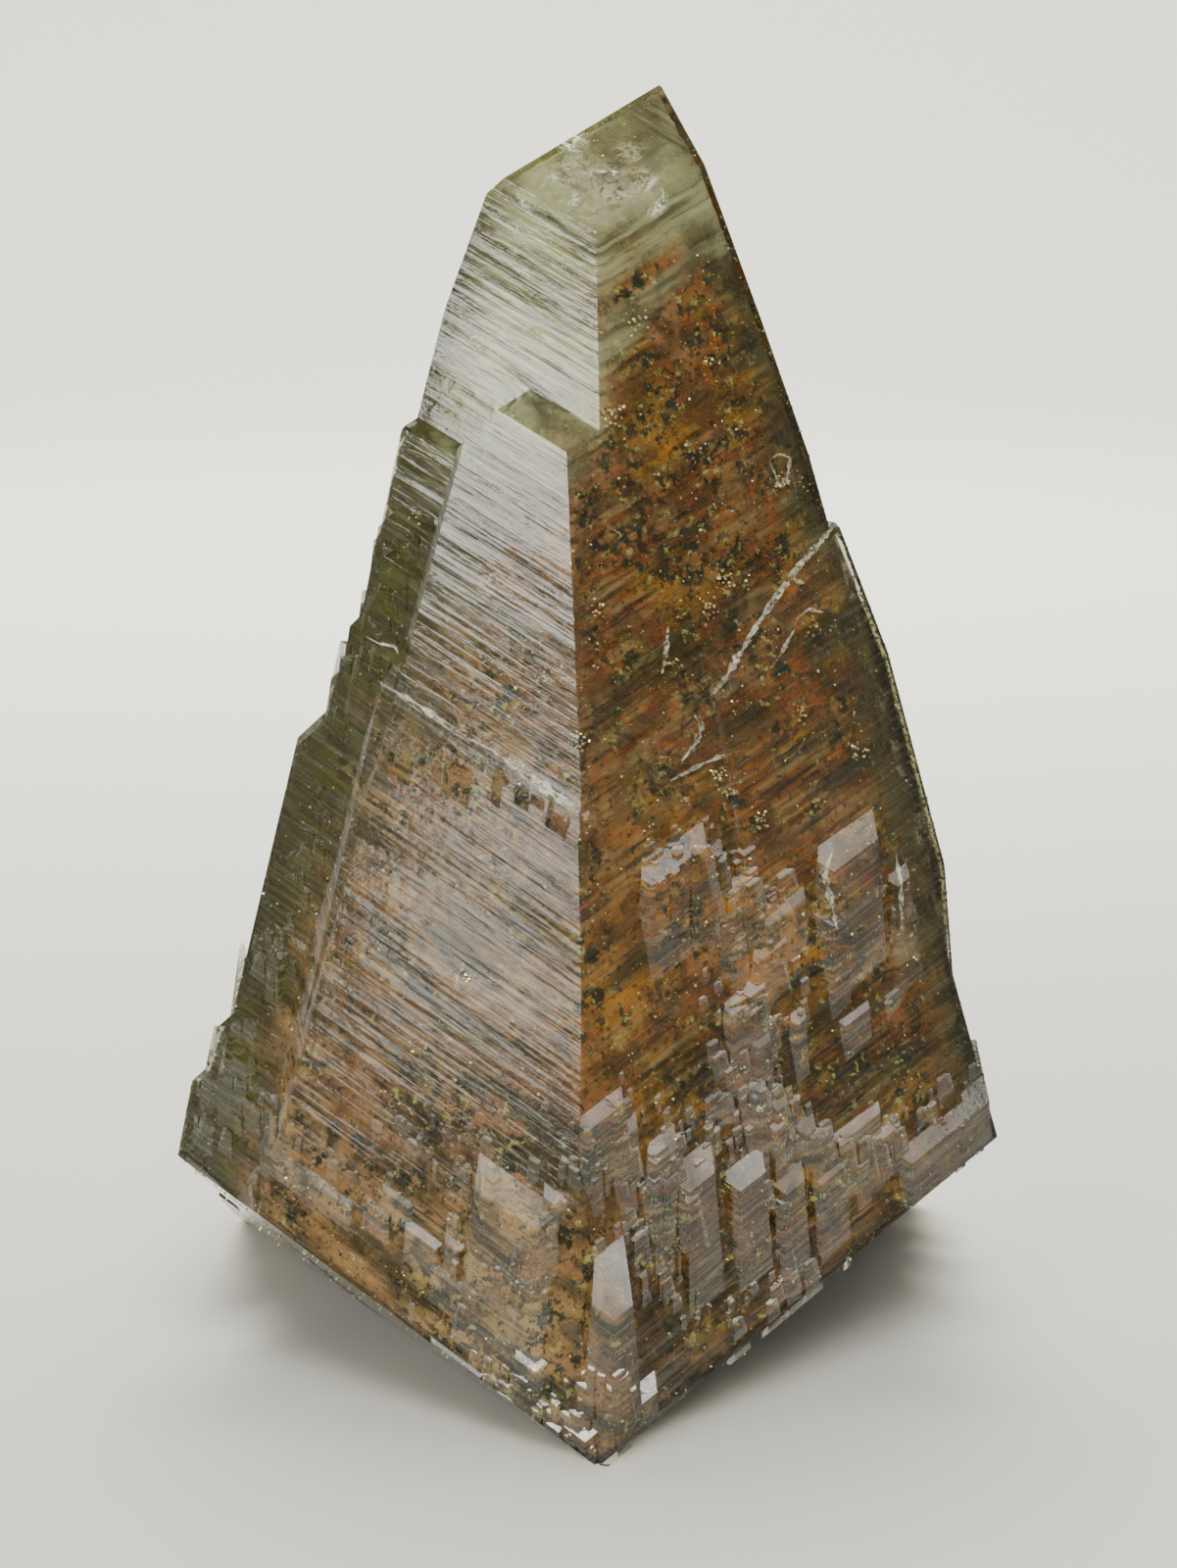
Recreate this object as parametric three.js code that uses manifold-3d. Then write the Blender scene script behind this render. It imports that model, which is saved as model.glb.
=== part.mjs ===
// A single crystal of scalenohedral calcite, broken from its matrix. It is a steep six-sided point
// whose faces carry thin plates and smaller crystals in parallel growth. Its summit has cleaved off,
// and it stands on a flat cut where it grew on rock.
import * as THREE from "three";
import { mergeVertices } from "three/addons/utils/BufferGeometryUtils.js";
import Module from "manifold-3d";

const wasm = await Module();
wasm.setup();

// Driving dimensions in millimetres. +Z runs up the crystal's long axis and its front edge faces -Y.
const WAIST_RADIUS = 44; // from the axis to each corner of the zigzag waist
const STOCK_SIZE = 400; // the rough block that every crystal is cleaved out of
const ROOT_DEPTH = 9; // how far a small growth reaches back into the crystal that carries it

// Steepness is a crystal's height over its rhombohedron's half height. The point grows steeper downwards.
const UPPER = 3.41;
const MIDDLE = 4.1;
const LOWER = 4.8;
const PLATE = 5;
const HILLOCK = 14;

// Calcite's own angles.
const RADIUS_PER_RISE = 1.3516; // waist radius over the rhombohedron's half height
const CORNER_RISE = (2 / 3) * (WAIST_RADIUS / RADIUS_PER_RISE); // from a low waist corner to a high one
const CLEAVAGE_LEAN = THREE.MathUtils.degToRad(44.6); // between a cleavage face's normal and the axis

// Azimuths of the blunt edges, in degrees. Each stands over a low corner, 60 degrees from a sharp edge.
const FRONT = -90;
const RIGHT = 30;
const LEFT = 150;
const SHARP_EDGES = [-30, 90, -150];
const THIRD = 120;

const LEFT_SIDE = -1;
const RIGHT_SIDE = 1;

const polar = (azimuth, radius, z) => {
  const turn = THREE.MathUtils.degToRad(azimuth);
  return new THREE.Vector3(radius * Math.cos(turn), radius * Math.sin(turn), z);
};

// A face is a plane: its outward normal, and its distance from the origin along that normal.
const face = (normal, at) => ({ normal, offset: normal.dot(at) });

// The normal of a cleavage face that looks towards an azimuth, up (1) or down (-1).
const cleavageNormal = (azimuth, up = 1) =>
  polar(azimuth, Math.sin(CLEAVAGE_LEAN), up * Math.cos(CLEAVAGE_LEAN));

// The normal of a flank, between a blunt edge and the sharp edge on one side of it.
const flankNormal = (bluntAzimuth, side, steepness) => {
  const blunt = polar(bluntAzimuth, RADIUS_PER_RISE, -(steepness + 1 / 3));
  const sharp = polar(bluntAzimuth + (side * THIRD) / 2, RADIUS_PER_RISE, -(steepness - 1 / 3));
  return blunt.cross(sharp).multiplyScalar(side).normalize();
};

const flank = (azimuth, side, steepness, at) =>
  face(flankNormal(azimuth, side, steepness), new THREE.Vector3(...at));

const cleavage = (azimuth, at) => face(cleavageNormal(azimuth), new THREE.Vector3(...at));

// A closed mesh as a solid.
function solidOf(geometry) {
  const bare = geometry.clone().deleteAttribute("normal").deleteAttribute("uv");
  const merged = mergeVertices(bare);
  return new wasm.Manifold(
    new wasm.Mesh({
      numProp: 3,
      vertProperties: merged.attributes.position.array,
      triVerts: new Uint32Array(merged.index.array),
    }),
  );
}

const stock = solidOf(new THREE.BoxGeometry(STOCK_SIZE, STOCK_SIZE, STOCK_SIZE));

// The convex block that is left when the stock is cut along each face.
const cleave = (faces) =>
  faces.reduce(
    (block, f) => block.trimByPlane(f.normal.clone().negate().toArray(), -f.offset),
    stock,
  );

// The main point. Each flank is up to three planes, one above the other.
const FRONT_RIGHT = [
  flank(FRONT, RIGHT_SIDE, UPPER, [0.9, -19, 87]),
  flank(FRONT, RIGHT_SIDE, MIDDLE, [-2, -24.8, 71.8]),
  flank(FRONT, RIGHT_SIDE, LOWER, [-1.3, -29.2, 56.9]),
];
const SUMMIT_LEFT = flank(FRONT, LEFT_SIDE, UPPER, [0.9, -19, 87]);
const WING = flank(FRONT, LEFT_SIDE, LOWER, [-14, -13.6, 84.5]);
const RIGHT_BACK = [
  flank(RIGHT, LEFT_SIDE, UPPER + 0.14, [22.4, -14, 78.4]),
  flank(RIGHT, LEFT_SIDE, 4.5, [36.5, -21.1, 26]),
];
const LEFT_BACK = [
  flank(LEFT, RIGHT_SIDE, UPPER, [-16.5, -12.6, 86.7]),
  flank(LEFT, RIGHT_SIDE, LOWER, [-17.3, -15, 80]),
];
const BACK_RIGHT = [
  flank(RIGHT, RIGHT_SIDE, UPPER, [1, 13.5, 100]),
  flank(RIGHT, RIGHT_SIDE, LOWER, [0, 38, 21.7]),
];
const BACK_LEFT = [
  flank(LEFT, LEFT_SIDE, UPPER, [1, 13.5, 100]),
  flank(LEFT, LEFT_SIDE, LOWER, [0, 38, 21.7]),
];
const SUMMIT_CLEAVAGES = [
  cleavage(FRONT, [0.3, -13.3, 103.4]),
  cleavage(LEFT, [-8.8, -9.9, 107.8]),
  cleavage(RIGHT, [8.6, -0.8, 116]),
];

const mainPoint = cleave([
  ...FRONT_RIGHT,
  SUMMIT_LEFT,
  WING,
  ...RIGHT_BACK,
  ...LEFT_BACK,
  ...BACK_RIGHT,
  ...BACK_LEFT,
  ...SUMMIT_CLEAVAGES,
]);

const waistCorner = (azimuth) =>
  polar(azimuth, WAIST_RADIUS, SHARP_EDGES.includes(azimuth) ? CORNER_RISE : 0);

// A smaller crystal in parallel growth on a host face, under the blunt edge at `azimuth`.
// `at` is where the front corner of its cleaved top stands: millimetres across and millimetres up.
// `step` is how far that corner stands out of the host. `left` and `right` are the top's widths along
// the waist's zigzag. A `shoulder` slopes down beyond the left width, and a `bevel` takes off its edge.
// A growth that ends `flush` with other faces has them instead of its own right flank.
function growth(host, { azimuth = FRONT, at, step, left = 1, right = 1, ...options }) {
  const { steepness = HILLOCK, shoulder = 0, bevel = 0, flush } = options;
  const outwards = polar(azimuth, 1, 0);
  const corner = polar(azimuth + 90, at[0], at[1]);
  corner.addScaledVector(
    outwards,
    (host.offset + step - host.normal.dot(corner)) / host.normal.dot(outwards),
  );

  const low = polar(azimuth, WAIST_RADIUS, 0);
  const towards = (side) =>
    polar(azimuth + (side * THIRD) / 2, WAIST_RADIUS, CORNER_RISE).sub(low).normalize();
  const leftEnd = corner.clone().addScaledVector(towards(LEFT_SIDE), left);
  const rightEnd = corner.clone().addScaledVector(towards(RIGHT_SIDE), right);

  const leftFlank = face(flankNormal(azimuth, LEFT_SIDE, steepness), corner);
  const rightFlank = face(flankNormal(azimuth, RIGHT_SIDE, steepness), corner);
  const shoulderFace = face(cleavageNormal(azimuth - THIRD), leftEnd);
  const down = leftFlank.normal.clone().cross(shoulderFace.normal).normalize();
  down.multiplyScalar(-Math.sign(down.z));
  const leftBack = face(
    flankNormal(azimuth - THIRD, RIGHT_SIDE, steepness),
    leftEnd.clone().addScaledVector(down, shoulder),
  );
  const bevelNormal = leftFlank.normal.clone().add(leftBack.normal).normalize();
  const bevelFace = face(bevelNormal, leftEnd.clone().addScaledVector(down, shoulder));
  bevelFace.offset -= bevel;

  return cleave([
    leftFlank,
    ...(flush ?? [rightFlank]),
    face(cleavageNormal(azimuth), corner),
    face(flankNormal(azimuth + THIRD, LEFT_SIDE, steepness), rightEnd),
    face(outwards.clone().negate(), corner.clone().addScaledVector(outwards, -ROOT_DEPTH)),
    leftBack,
    ...(shoulder > 0 ? [shoulderFace] : []),
    ...(bevel > 0 ? [bevelFace] : []),
  ]);
}

// The stepped left edge: the apex of each step, where its front ledge meets the shoulder behind it.
const WING_REACH = 8;
const WING_STEPS = [
  { apex: [-16.3, 86.6], step: 0.9, shoulder: 0.5, steepness: 5.5 },
  { apex: [-17.2, 79.2], step: 1.1, shoulder: 2.3, steepness: 6 },
  { apex: [-18.2, 75.2], step: 1.4, shoulder: 2, steepness: 6 },
  { apex: [-20, 70.3], step: 1.2, shoulder: 2.2, steepness: 7 },
  { apex: [-21.6, 65.8], step: 1.5, shoulder: 2.4, steepness: 7 },
  { apex: [-23.4, 61.5], step: 1.1, shoulder: 4.2, steepness: 5 },
  { apex: [-27, 50.8], step: 1, shoulder: 2.3, steepness: 5.5 },
  { apex: [-29.4, 42], step: 1.2, shoulder: 1.7, steepness: 5.5 },
  { apex: [-30.8, 35.6], step: 1.4, shoulder: 4.6, steepness: 5 },
  { apex: [-34.4, 29.6], step: 1.7, shoulder: 3, steepness: 6 },
];
const wingStep = ({ apex: [x, z], ...shape }) => {
  const edge = polar(FRONT - THIRD / 2, WAIST_RADIUS, CORNER_RISE).sub(waistCorner(FRONT)).normalize();
  const at = [x - WING_REACH * edge.x, z - WING_REACH * edge.z];
  return growth(WING, { at, left: WING_REACH, right: 1, ...shape });
};

// The broad plates on the front left flank. They end at the front edge, flush with the right flank.
const PLATES = [
  { at: [-2.3, 85.1], step: 2, left: 7.4, shoulder: 5, steepness: 4.5, bevel: 0.3 },
  { at: [-1.9, 57.2], step: 2.35, left: 21, shoulder: 0.5, steepness: PLATE, bevel: 0.3 },
  { at: [-1.7, 56], step: 2.5, left: 9.4, steepness: PLATE },
  { at: [-1.4, 54.6], step: 2.62, left: 6.5, steepness: PLATE },
  { at: [-1.2, 52.4], step: 2.75, left: 24.4, shoulder: 0.6, steepness: PLATE, bevel: 1.1 },
];
const plate = (shape) => growth(WING, { right: 4, flush: FRONT_RIGHT, ...shape });

const LOW_RIGHT = FRONT_RIGHT[2];
const LOW_LEFT = flank(FRONT, LEFT_SIDE, PLATE, [-0.8, -44, 0]);

// Grey-topped hillocks on the lower right flank.
const RIGHT_HILLOCKS = [
  { at: [5, 48], step: 1.3, right: 6.5, left: 1.2 },
  { at: [10, 49], step: 0.8, right: 2, left: 0.8 },
  { at: [12, 46], step: 0.8, right: 3, left: 1 },
  { at: [10.3, 45.2], step: 0.6, right: 1.2, left: 0.6 },
  { at: [11.8, 44.2], step: 0.7, right: 1.8, left: 0.7 },
  { at: [15, 44.2], step: 0.6, right: 2, left: 0.6 },
  { at: [15.7, 43.2], step: 1, right: 4.5, left: 0.8 },
  { at: [15, 40.3], step: 0.9, right: 3, left: 0.9 },
  { at: [12.9, 42], step: 0.5, right: 1, left: 0.8 },
  { at: [21.8, 47.5], step: 2.2, right: 5.5, left: 1.8 },
  { at: [21.7, 42.6], step: 1.6, right: 1.5, left: 2.6 },
  { at: [28, 45.3], step: 1.4, right: 1.6, left: 1, steepness: 8 },
  { at: [21.4, 39.2], step: 0.8, right: 1.4, left: 0.7 },
  { at: [12.3, 35.9], step: 0.9, right: 1.8, left: 1 },
  { at: [13.9, 37.2], step: 0.8, right: 1.8, left: 0.7 },
  { at: [14.6, 32.7], step: 0.9, right: 1.5, left: 2.6 },
  { at: [18.3, 34.3], step: 1, right: 1, left: 0.8 },
  { at: [22.9, 33.5], step: 0.8, right: 3, left: 0.8 },
  { at: [27, 35.3], step: 0.7, right: 1.5, left: 1 },
  { at: [14.6, 29], step: 0.8, right: 0.9, left: 2 },
  { at: [16.6, 27.2], step: 0.9, right: 0.9, left: 2 },
  { at: [16.1, 25.5], step: 1.1, right: 1, left: 2.6 },
  { at: [19, 24.7], step: 1.1, right: 1.1, left: 2.6 },
  { at: [20.4, 23.6], step: 1.1, right: 1.2, left: 1.6 },
  { at: [22.2, 23.4], step: 0.9, right: 5, left: 1 },
  { at: [26.3, 23.2], step: 0.9, right: 2.2, left: 0.8 },
  { at: [29, 20.8], step: 1.4, right: 10, left: 1.2 },
  { at: [12.7, 21], step: 1.4, right: 3, left: 1.6 },
  { at: [17, 20], step: 1.3, right: 2.2, left: 2.4 },
  { at: [20.3, 20.3], step: 1.2, right: 3, left: 2 },
  { at: [24, 21], step: 0.8, right: 1.2, left: 0.8 },
  { at: [5, 24.4], step: 1.2, right: 2.6, left: 0.8 },
  { at: [8, 21.8], step: 1.7, right: 3, left: 1.4 },
  { at: [-1, 28], step: 0.9, right: 4.2, left: 0.8 },
  { at: [1.6, 26.6], step: 0.8, right: 2.4, left: 1.2 },
  { at: [2.6, 4], step: 1, right: 3, left: 1.4 },
];

// Hillocks and ledges on the lower left flank, and in the corners between the wing and the plates.
const LEFT_HILLOCKS = [
  { at: [-5.7, 19.6], step: 2.4, left: 6.6, right: 2.2, steepness: 9 },
  { at: [-3.9, 21.7], step: 1.2, left: 1.2, right: 2 },
  { at: [1, 13], step: 1.8, left: 2.4, right: 2.2 },
  { at: [-5.7, 7.6], step: 1.7, left: 2.2, right: 3.6 },
  { at: [-8, 9.6], step: 1.4, left: 1.2, right: 3.2 },
  { at: [-11.8, 13.1], step: 1.3, left: 3.8, right: 0.8 },
  { at: [-14.3, 16.5], step: 1.3, left: 3.4, right: 0.8 },
  { at: [-12.2, 16.6], step: 1.2, left: 1.6, right: 0.6 },
  { at: [-16.6, 19.6], step: 1.1, left: 3, right: 0.8 },
  { at: [-18.6, 18.6], step: 1.2, left: 2.6, right: 0.8 },
  { at: [-22, 19], step: 1.2, left: 10.2, right: 0.8 },
  { at: [-14.9, 12.4], step: 0.8, left: 22.5, right: 0.8, steepness: PLATE },
  { at: [-10.5, 6.2], step: 1.2, left: 5.5, right: 0.8 },
  { at: [-6, 3.5], step: 1.3, left: 3.8, right: 1.4 },
  { at: [-1.5, 2.2], step: 1.1, left: 2.2, right: 2.2 },
];
const CORNER_HILLOCKS = [
  { at: [-18, 67], step: 2.2, left: 3, right: 1 },
  { at: [-18.8, 62.4], step: 2.1, left: 3.4, right: 1 },
  { at: [-15.2, 60.4], step: 2.6, left: 4.6, right: 1 },
  { at: [-28.4, 39], step: 1.8, left: 1.2, right: 0.8 },
  { at: [-31.4, 29.8], step: 2.2, left: 2.4, right: 0.8 },
];

// A thin layer on the front right flank. Its upper left rim shows as a pale seam, and it bulges past
// the crystal's right edge between a notch above and a hollow below.
const SEAM_TOP = new THREE.Vector3(22.9, -13.6, 77.6);
const SEAM_END = new THREE.Vector3(11.1, -22.4, 64.2);
const LAYER_FOOT = new THREE.Vector3(27, -23.1, 36);
const LAYER_RISE = 0.6;
const LAYER_EDGE = [
  flank(RIGHT, LEFT_SIDE, 3.1, [27.4, -15.8, 66.5]),
  flank(RIGHT, LEFT_SIDE, 4.6, [32.8, -18.9, 47]),
  flank(RIGHT, LEFT_SIDE, 19, [33.5, -19.3, 36]),
];

function seamLayer() {
  const [, middle, lower] = FRONT_RIGHT;
  const outer = new THREE.Plane().setFromCoplanarPoints(
    SEAM_TOP.clone().addScaledVector(middle.normal, LAYER_RISE),
    SEAM_END,
    LAYER_FOOT,
  );
  const rim = SEAM_TOP.clone().sub(SEAM_END).normalize();
  const rimNormal = rim.cross(middle.normal);
  rimNormal.multiplyScalar(Math.sign(rimNormal.z)).addScaledVector(middle.normal, 0.4).normalize();
  const inside = face(lower.normal.clone().negate(), SEAM_TOP.clone().addScaledVector(lower.normal, -6));
  return cleave([
    face(outer.normal, SEAM_END),
    face(rimNormal, SEAM_END),
    face(flankNormal(FRONT, LEFT_SIDE, HILLOCK), SEAM_END),
    face(cleavageNormal(RIGHT), SEAM_TOP),
    ...LAYER_EDGE,
    inside,
  ]);
}

// The sides and back: broad terraces over both rear edges, and hillocks strewn over the flanks.
const TERRACES = [
  { azimuth: RIGHT, at: [1, 88], step: 1, left: 6, right: 7, shoulder: 2 },
  { azimuth: RIGHT, at: [-1, 69], step: 1.5, left: 12, right: 9 },
  { azimuth: RIGHT, at: [2, 41], step: 1.4, left: 9, right: 22 },
  { azimuth: RIGHT, at: [0, 23], step: 1.8, left: 24, right: 14 },
  { azimuth: LEFT, at: [-1, 92], step: 1, left: 5, right: 1.5 },
  { azimuth: LEFT, at: [-1, 74], step: 1.2, left: 10, right: 5, shoulder: 3 },
  { azimuth: LEFT, at: [1, 52], step: 1.7, left: 15, right: 10 },
  { azimuth: LEFT, at: [-2, 30], step: 1.6, left: 12, right: 16 },
];
const terrace = (shape) =>
  growth(shape.azimuth === RIGHT ? BACK_RIGHT[1] : BACK_LEFT[1], { steepness: PLATE, ...shape });

const STREWN = [
  { host: RIGHT_BACK[1], azimuth: RIGHT, side: LEFT_SIDE, seed: 11 },
  { host: BACK_RIGHT[1], azimuth: RIGHT, side: RIGHT_SIDE, seed: 23 },
  { host: BACK_LEFT[1], azimuth: LEFT, side: LEFT_SIDE, seed: 37 },
  { host: LEFT_BACK[1], azimuth: LEFT, side: RIGHT_SIDE, seed: 53 },
];
const HILLOCKS_PER_FLANK = 15;
const STREWN_LOW = 6;
const STREWN_HIGH = 66;

// Hillocks crowd towards the base. `spread` keeps each one between the flank's two edges.
function strew({ host, azimuth, side, seed }) {
  const random = (index, salt) => THREE.MathUtils.seededRandom(seed * 1000 + index * 17 + salt * 131);
  return Array.from({ length: HILLOCKS_PER_FLANK }, (_, index) => {
    const up = STREWN_LOW + (STREWN_HIGH - STREWN_LOW) * random(index, 1) ** 1.6;
    const spread = 27 - 0.16 * up;
    const across = side * (4 + (spread - 4) * random(index, 2));
    return growth(host, {
      azimuth,
      at: [across, up],
      step: 0.7 + 1.5 * random(index, 3) ** 2,
      left: 0.8 + (side === LEFT_SIDE ? 5 : 1.5) * random(index, 4),
      right: 0.8 + (side === RIGHT_SIDE ? 5 : 1.5) * random(index, 5),
    });
  });
}

const growths = [
  ...WING_STEPS.map(wingStep),
  ...PLATES.map(plate),
  ...RIGHT_HILLOCKS.map((shape) => growth(LOW_RIGHT, shape)),
  ...LEFT_HILLOCKS.map((shape) => growth(LOW_LEFT, shape)),
  ...CORNER_HILLOCKS.map((shape) => growth(WING, shape)),
  seamLayer(),
  ...TERRACES.map(terrace),
  ...STREWN.flatMap(strew),
];

const whole = wasm.Manifold.union([mainPoint, ...growths]);

// The underside: three cleavage faces below the zigzag waist, and the flat cut that it stands on.
// The front left one hangs a little lower than the others.
const LEFT_SAG = 0.5;
const UNDERSIDE = [
  ...SHARP_EDGES.map((azimuth) => face(cleavageNormal(azimuth, -1), waistCorner(azimuth))),
  face(new THREE.Vector3(0, 0, -1), new THREE.Vector3(0, 0, 0)),
];
UNDERSIDE[SHARP_EDGES.indexOf(-150)].offset += LEFT_SAG;
const crystal = whole.intersect(cleave(UNDERSIDE));

function geometryOf(solid) {
  const mesh = solid.getMesh();
  return new THREE.BufferGeometry()
    .setAttribute("position", new THREE.BufferAttribute(mesh.vertProperties, 3))
    .setIndex(new THREE.BufferAttribute(mesh.triVerts, 1));
}

const calcite = new THREE.MeshStandardMaterial({ color: 0x7a5a34, roughness: 0.18, metalness: 0 });
const specimen = new THREE.Group();
const body = new THREE.Mesh(geometryOf(crystal), calcite);
body.name = "calcite_crystal";
specimen.add(body);

// The frame's origin is under the middle of the crystal's box, on the cut that it stands on.
const { min, max } = crystal.boundingBox();
body.position.set(-(min[0] + max[0]) / 2, -(min[1] + max[1]) / 2, -min[2]);

export default specimen;
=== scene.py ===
# %% [markdown]
# # A scalenohedral calcite crystal
#
# The real thing is one clear crystal, about 117 mm tall. What gives it its colour lies inside: a
# cloud of rust-brown dust that stops a millimetre or two under the faces, and thousands of tiny
# golden grains of sulphide. The lesson builds it in the same order, from the clear skin inwards,
# then the finishes, the floor, the lights and the camera. The CAD solid gives the size and every
# main form.

import math
import random

import bpy
from mathutils import Matrix, Vector


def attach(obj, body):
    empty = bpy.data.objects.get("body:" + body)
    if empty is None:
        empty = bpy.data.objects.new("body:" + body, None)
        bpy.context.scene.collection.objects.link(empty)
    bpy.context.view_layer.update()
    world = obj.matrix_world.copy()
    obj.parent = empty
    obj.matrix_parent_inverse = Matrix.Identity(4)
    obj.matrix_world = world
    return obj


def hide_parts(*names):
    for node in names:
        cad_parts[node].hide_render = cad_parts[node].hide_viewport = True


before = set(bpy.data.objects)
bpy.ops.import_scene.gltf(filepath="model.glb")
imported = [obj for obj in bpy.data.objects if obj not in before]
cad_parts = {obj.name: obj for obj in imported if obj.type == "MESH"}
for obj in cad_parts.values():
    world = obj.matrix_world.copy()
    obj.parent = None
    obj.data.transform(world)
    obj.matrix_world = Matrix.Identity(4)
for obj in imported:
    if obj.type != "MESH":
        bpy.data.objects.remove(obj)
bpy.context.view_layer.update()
MM = 0.001
AXIS = Vector((-0.69, 2.62, 0)) * MM  # where the crystal's long axis stands in the frame


def at(x, y, z):
    """A place in mm, measured from the foot of the crystal's long axis."""
    return AXIS + Vector((x, y, z)) * MM


print("CAD nodes:", sorted(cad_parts))

# %% [markdown]
# ## The directions of a calcite crystal
#
# Calcite is the same three times around its axis. A crystal grows, steps and breaks only along a few
# planes, so nearly every piece here is made of planes from two families. The flanks are the steep
# faces of the point. The cleavages are the three gentler faces along which calcite splits, and they
# top every ledge. Working out both families once keeps all the later pieces parallel to the solid.

# %% Flank and cleavage directions
FRONT, RIGHT, LEFT = -90, 30, 150  # azimuths of the three blunt edges, in degrees
RADIUS_PER_RISE = 1.3516
CLEAVAGE_LEAN = math.radians(44.6)


def polar(azimuth, radius, z):
    turn = math.radians(azimuth)
    return Vector((radius * math.cos(turn), radius * math.sin(turn), z))


def flank_normal(azimuth, side, steepness):
    """The outward normal of the flank on one side (-1 or 1) of a blunt edge."""
    blunt = polar(azimuth, RADIUS_PER_RISE, -(steepness + 1 / 3))
    sharp = polar(azimuth + side * 60, RADIUS_PER_RISE, -(steepness - 1 / 3))
    return (blunt.cross(sharp) * side).normalized()


def cleavage_normal(azimuth, up=1):
    return polar(azimuth, math.sin(CLEAVAGE_LEAN), up * math.cos(CLEAVAGE_LEAN))


def zigzag(azimuth, side):
    """The direction of the ledges beside a blunt edge, away from it and up."""
    low = polar(azimuth, 1, 0)
    high = polar(azimuth + side * 60, 1, 2 / 3 / RADIUS_PER_RISE)
    return (high - low).normalized()


print("Front flanks face", flank_normal(FRONT, -1, 5), flank_normal(FRONT, 1, 5))

# %% [markdown]
# ## Small tools for working by hand
#
# Every piece below is shaped in edit mode. These helpers do what a hand would do between two
# operators: deselect everything, take up one object, and cut it along a plane. The bisect operator
# with its fill is the cleaver here, because a crystal is whatever is left after flat cuts.


# %% Helpers for edit mode
def take_up(piece):
    bpy.ops.object.select_all(action="DESELECT")
    piece.select_set(True)
    bpy.context.view_layer.objects.active = piece
    return piece


def cleave(piece, planes):
    """Cuts away what lies outside each (normal, point) plane and closes the cut."""
    take_up(piece)
    bpy.ops.object.mode_set(mode="EDIT")
    for normal, point in planes:
        bpy.ops.mesh.select_all(action="SELECT")
        bpy.ops.mesh.bisect(
            plane_co=point, plane_no=normal, use_fill=True, clear_outer=True, threshold=1e-7
        )
    bpy.ops.object.mode_set(mode="OBJECT")
    return piece


def block(name, centre, size):
    """A cube whose place and size are in its mesh."""
    bpy.ops.object.select_all(action="DESELECT")
    bpy.ops.mesh.primitive_cube_add(size=size, location=centre)
    piece = bpy.context.object
    piece.name = piece.data.name = name
    bpy.ops.object.transform_apply(location=True, rotation=True, scale=True)
    return piece


def copied(source, name):
    piece = source.copy()
    piece.data = source.data.copy()
    piece.name = piece.data.name = name
    piece.parent = None
    bpy.context.scene.collection.objects.link(piece)
    return piece


def joined(pieces, name):
    bpy.ops.object.select_all(action="DESELECT")
    for piece in pieces:
        piece.select_set(True)
    bpy.context.view_layer.objects.active = pieces[0]
    if len(pieces) > 1:
        bpy.ops.object.join()
    pieces[0].name = pieces[0].data.name = name
    return pieces[0]


def finished(piece, modifier_type, **settings):
    """Adds one modifier with its settings and applies it."""
    take_up(piece)
    modifier = piece.modifiers.new(modifier_type.title(), modifier_type)
    for key, value in settings.items():
        setattr(modifier, key, value)
    bpy.ops.object.modifier_apply(modifier=modifier.name)
    return piece


def count(piece):
    return sum(len(face.vertices) - 2 for face in piece.data.polygons)


# %% [markdown]
# ## The clear skin
#
# The crystal's outside is the CAD solid itself: its faces are truly flat, so nothing is smoothed. A
# copy of a CAD mesh is loose triangles, so the copy is merged first.

# %% Copy the solid and merge it
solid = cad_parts["calcite_crystal"]
skin = copied(solid, "clear_calcite")
take_up(skin)
bpy.ops.object.mode_set(mode="EDIT")
bpy.ops.mesh.select_all(action="SELECT")
bpy.ops.mesh.remove_doubles(threshold=2e-6)
bpy.ops.object.mode_set(mode="OBJECT")
print("The skin has", count(skin), "triangles")


def surface(x, z, depth=0):
    """The place `depth` mm under the solid's front, found by a line straight back at (x, z)."""
    _, point, normal, _ = solid.ray_cast(at(x, -100, z), Vector((0, 1, 0)))
    return point - normal * depth * MM


# %% [markdown]
# ## Small crystals and chips
#
# Between the solid's ledges, hundreds of tiny crystals stand out of the faces in the same
# orientation, in swarms. They are too small and too many for the solid. Four are cleaved by hand:
# a short one, two long ones and a broad one, all with a cleavage top and two flanks. The swarms are
# copies of these at random sizes, and a boolean union fuses them with the skin, so that the clear
# calcite has no walls inside it.


# %% Cleave four small crystals
def small_crystal(name, left, right, steepness=11, depth=0.9):
    """A small crystal with its front top corner at the origin and ledges of `left`, `right` mm."""
    corner = Vector()
    planes = [
        (cleavage_normal(FRONT), corner),
        (flank_normal(FRONT, -1, steepness), corner),
        (flank_normal(FRONT, 1, steepness), corner),
        (flank_normal(LEFT, 1, steepness), zigzag(FRONT, -1) * left * MM),
        (flank_normal(RIGHT, -1, steepness), zigzag(FRONT, 1) * right * MM),
        (Vector((0, 1, 0)), Vector((0, depth * MM, 0))),
        (Vector((0, 0, -1)), Vector((0, 0, -7 * MM))),
    ]
    return cleave(block(name, corner, 20 * MM), planes)


MASTERS = [
    small_crystal("short_crystal", 0.7, 0.8),
    small_crystal("left_ledge", 3.2, 0.5),
    small_crystal("right_ledge", 0.5, 3.2),
    small_crystal("broad_crystal", 1.6, 1.5),
]
print("Faces of the small crystals:", [len(m.data.polygons) for m in MASTERS])

# %% [markdown]
# ## Where the swarms are
#
# Each swarm follows a path over the front, as places across and up in mm. The ledges to the left of
# the front edge run to the left, and those to the right of it run to the right. The sides and the
# back get swarms too, strewn by a loop, because the crystal is looked at from all sides.

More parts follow.
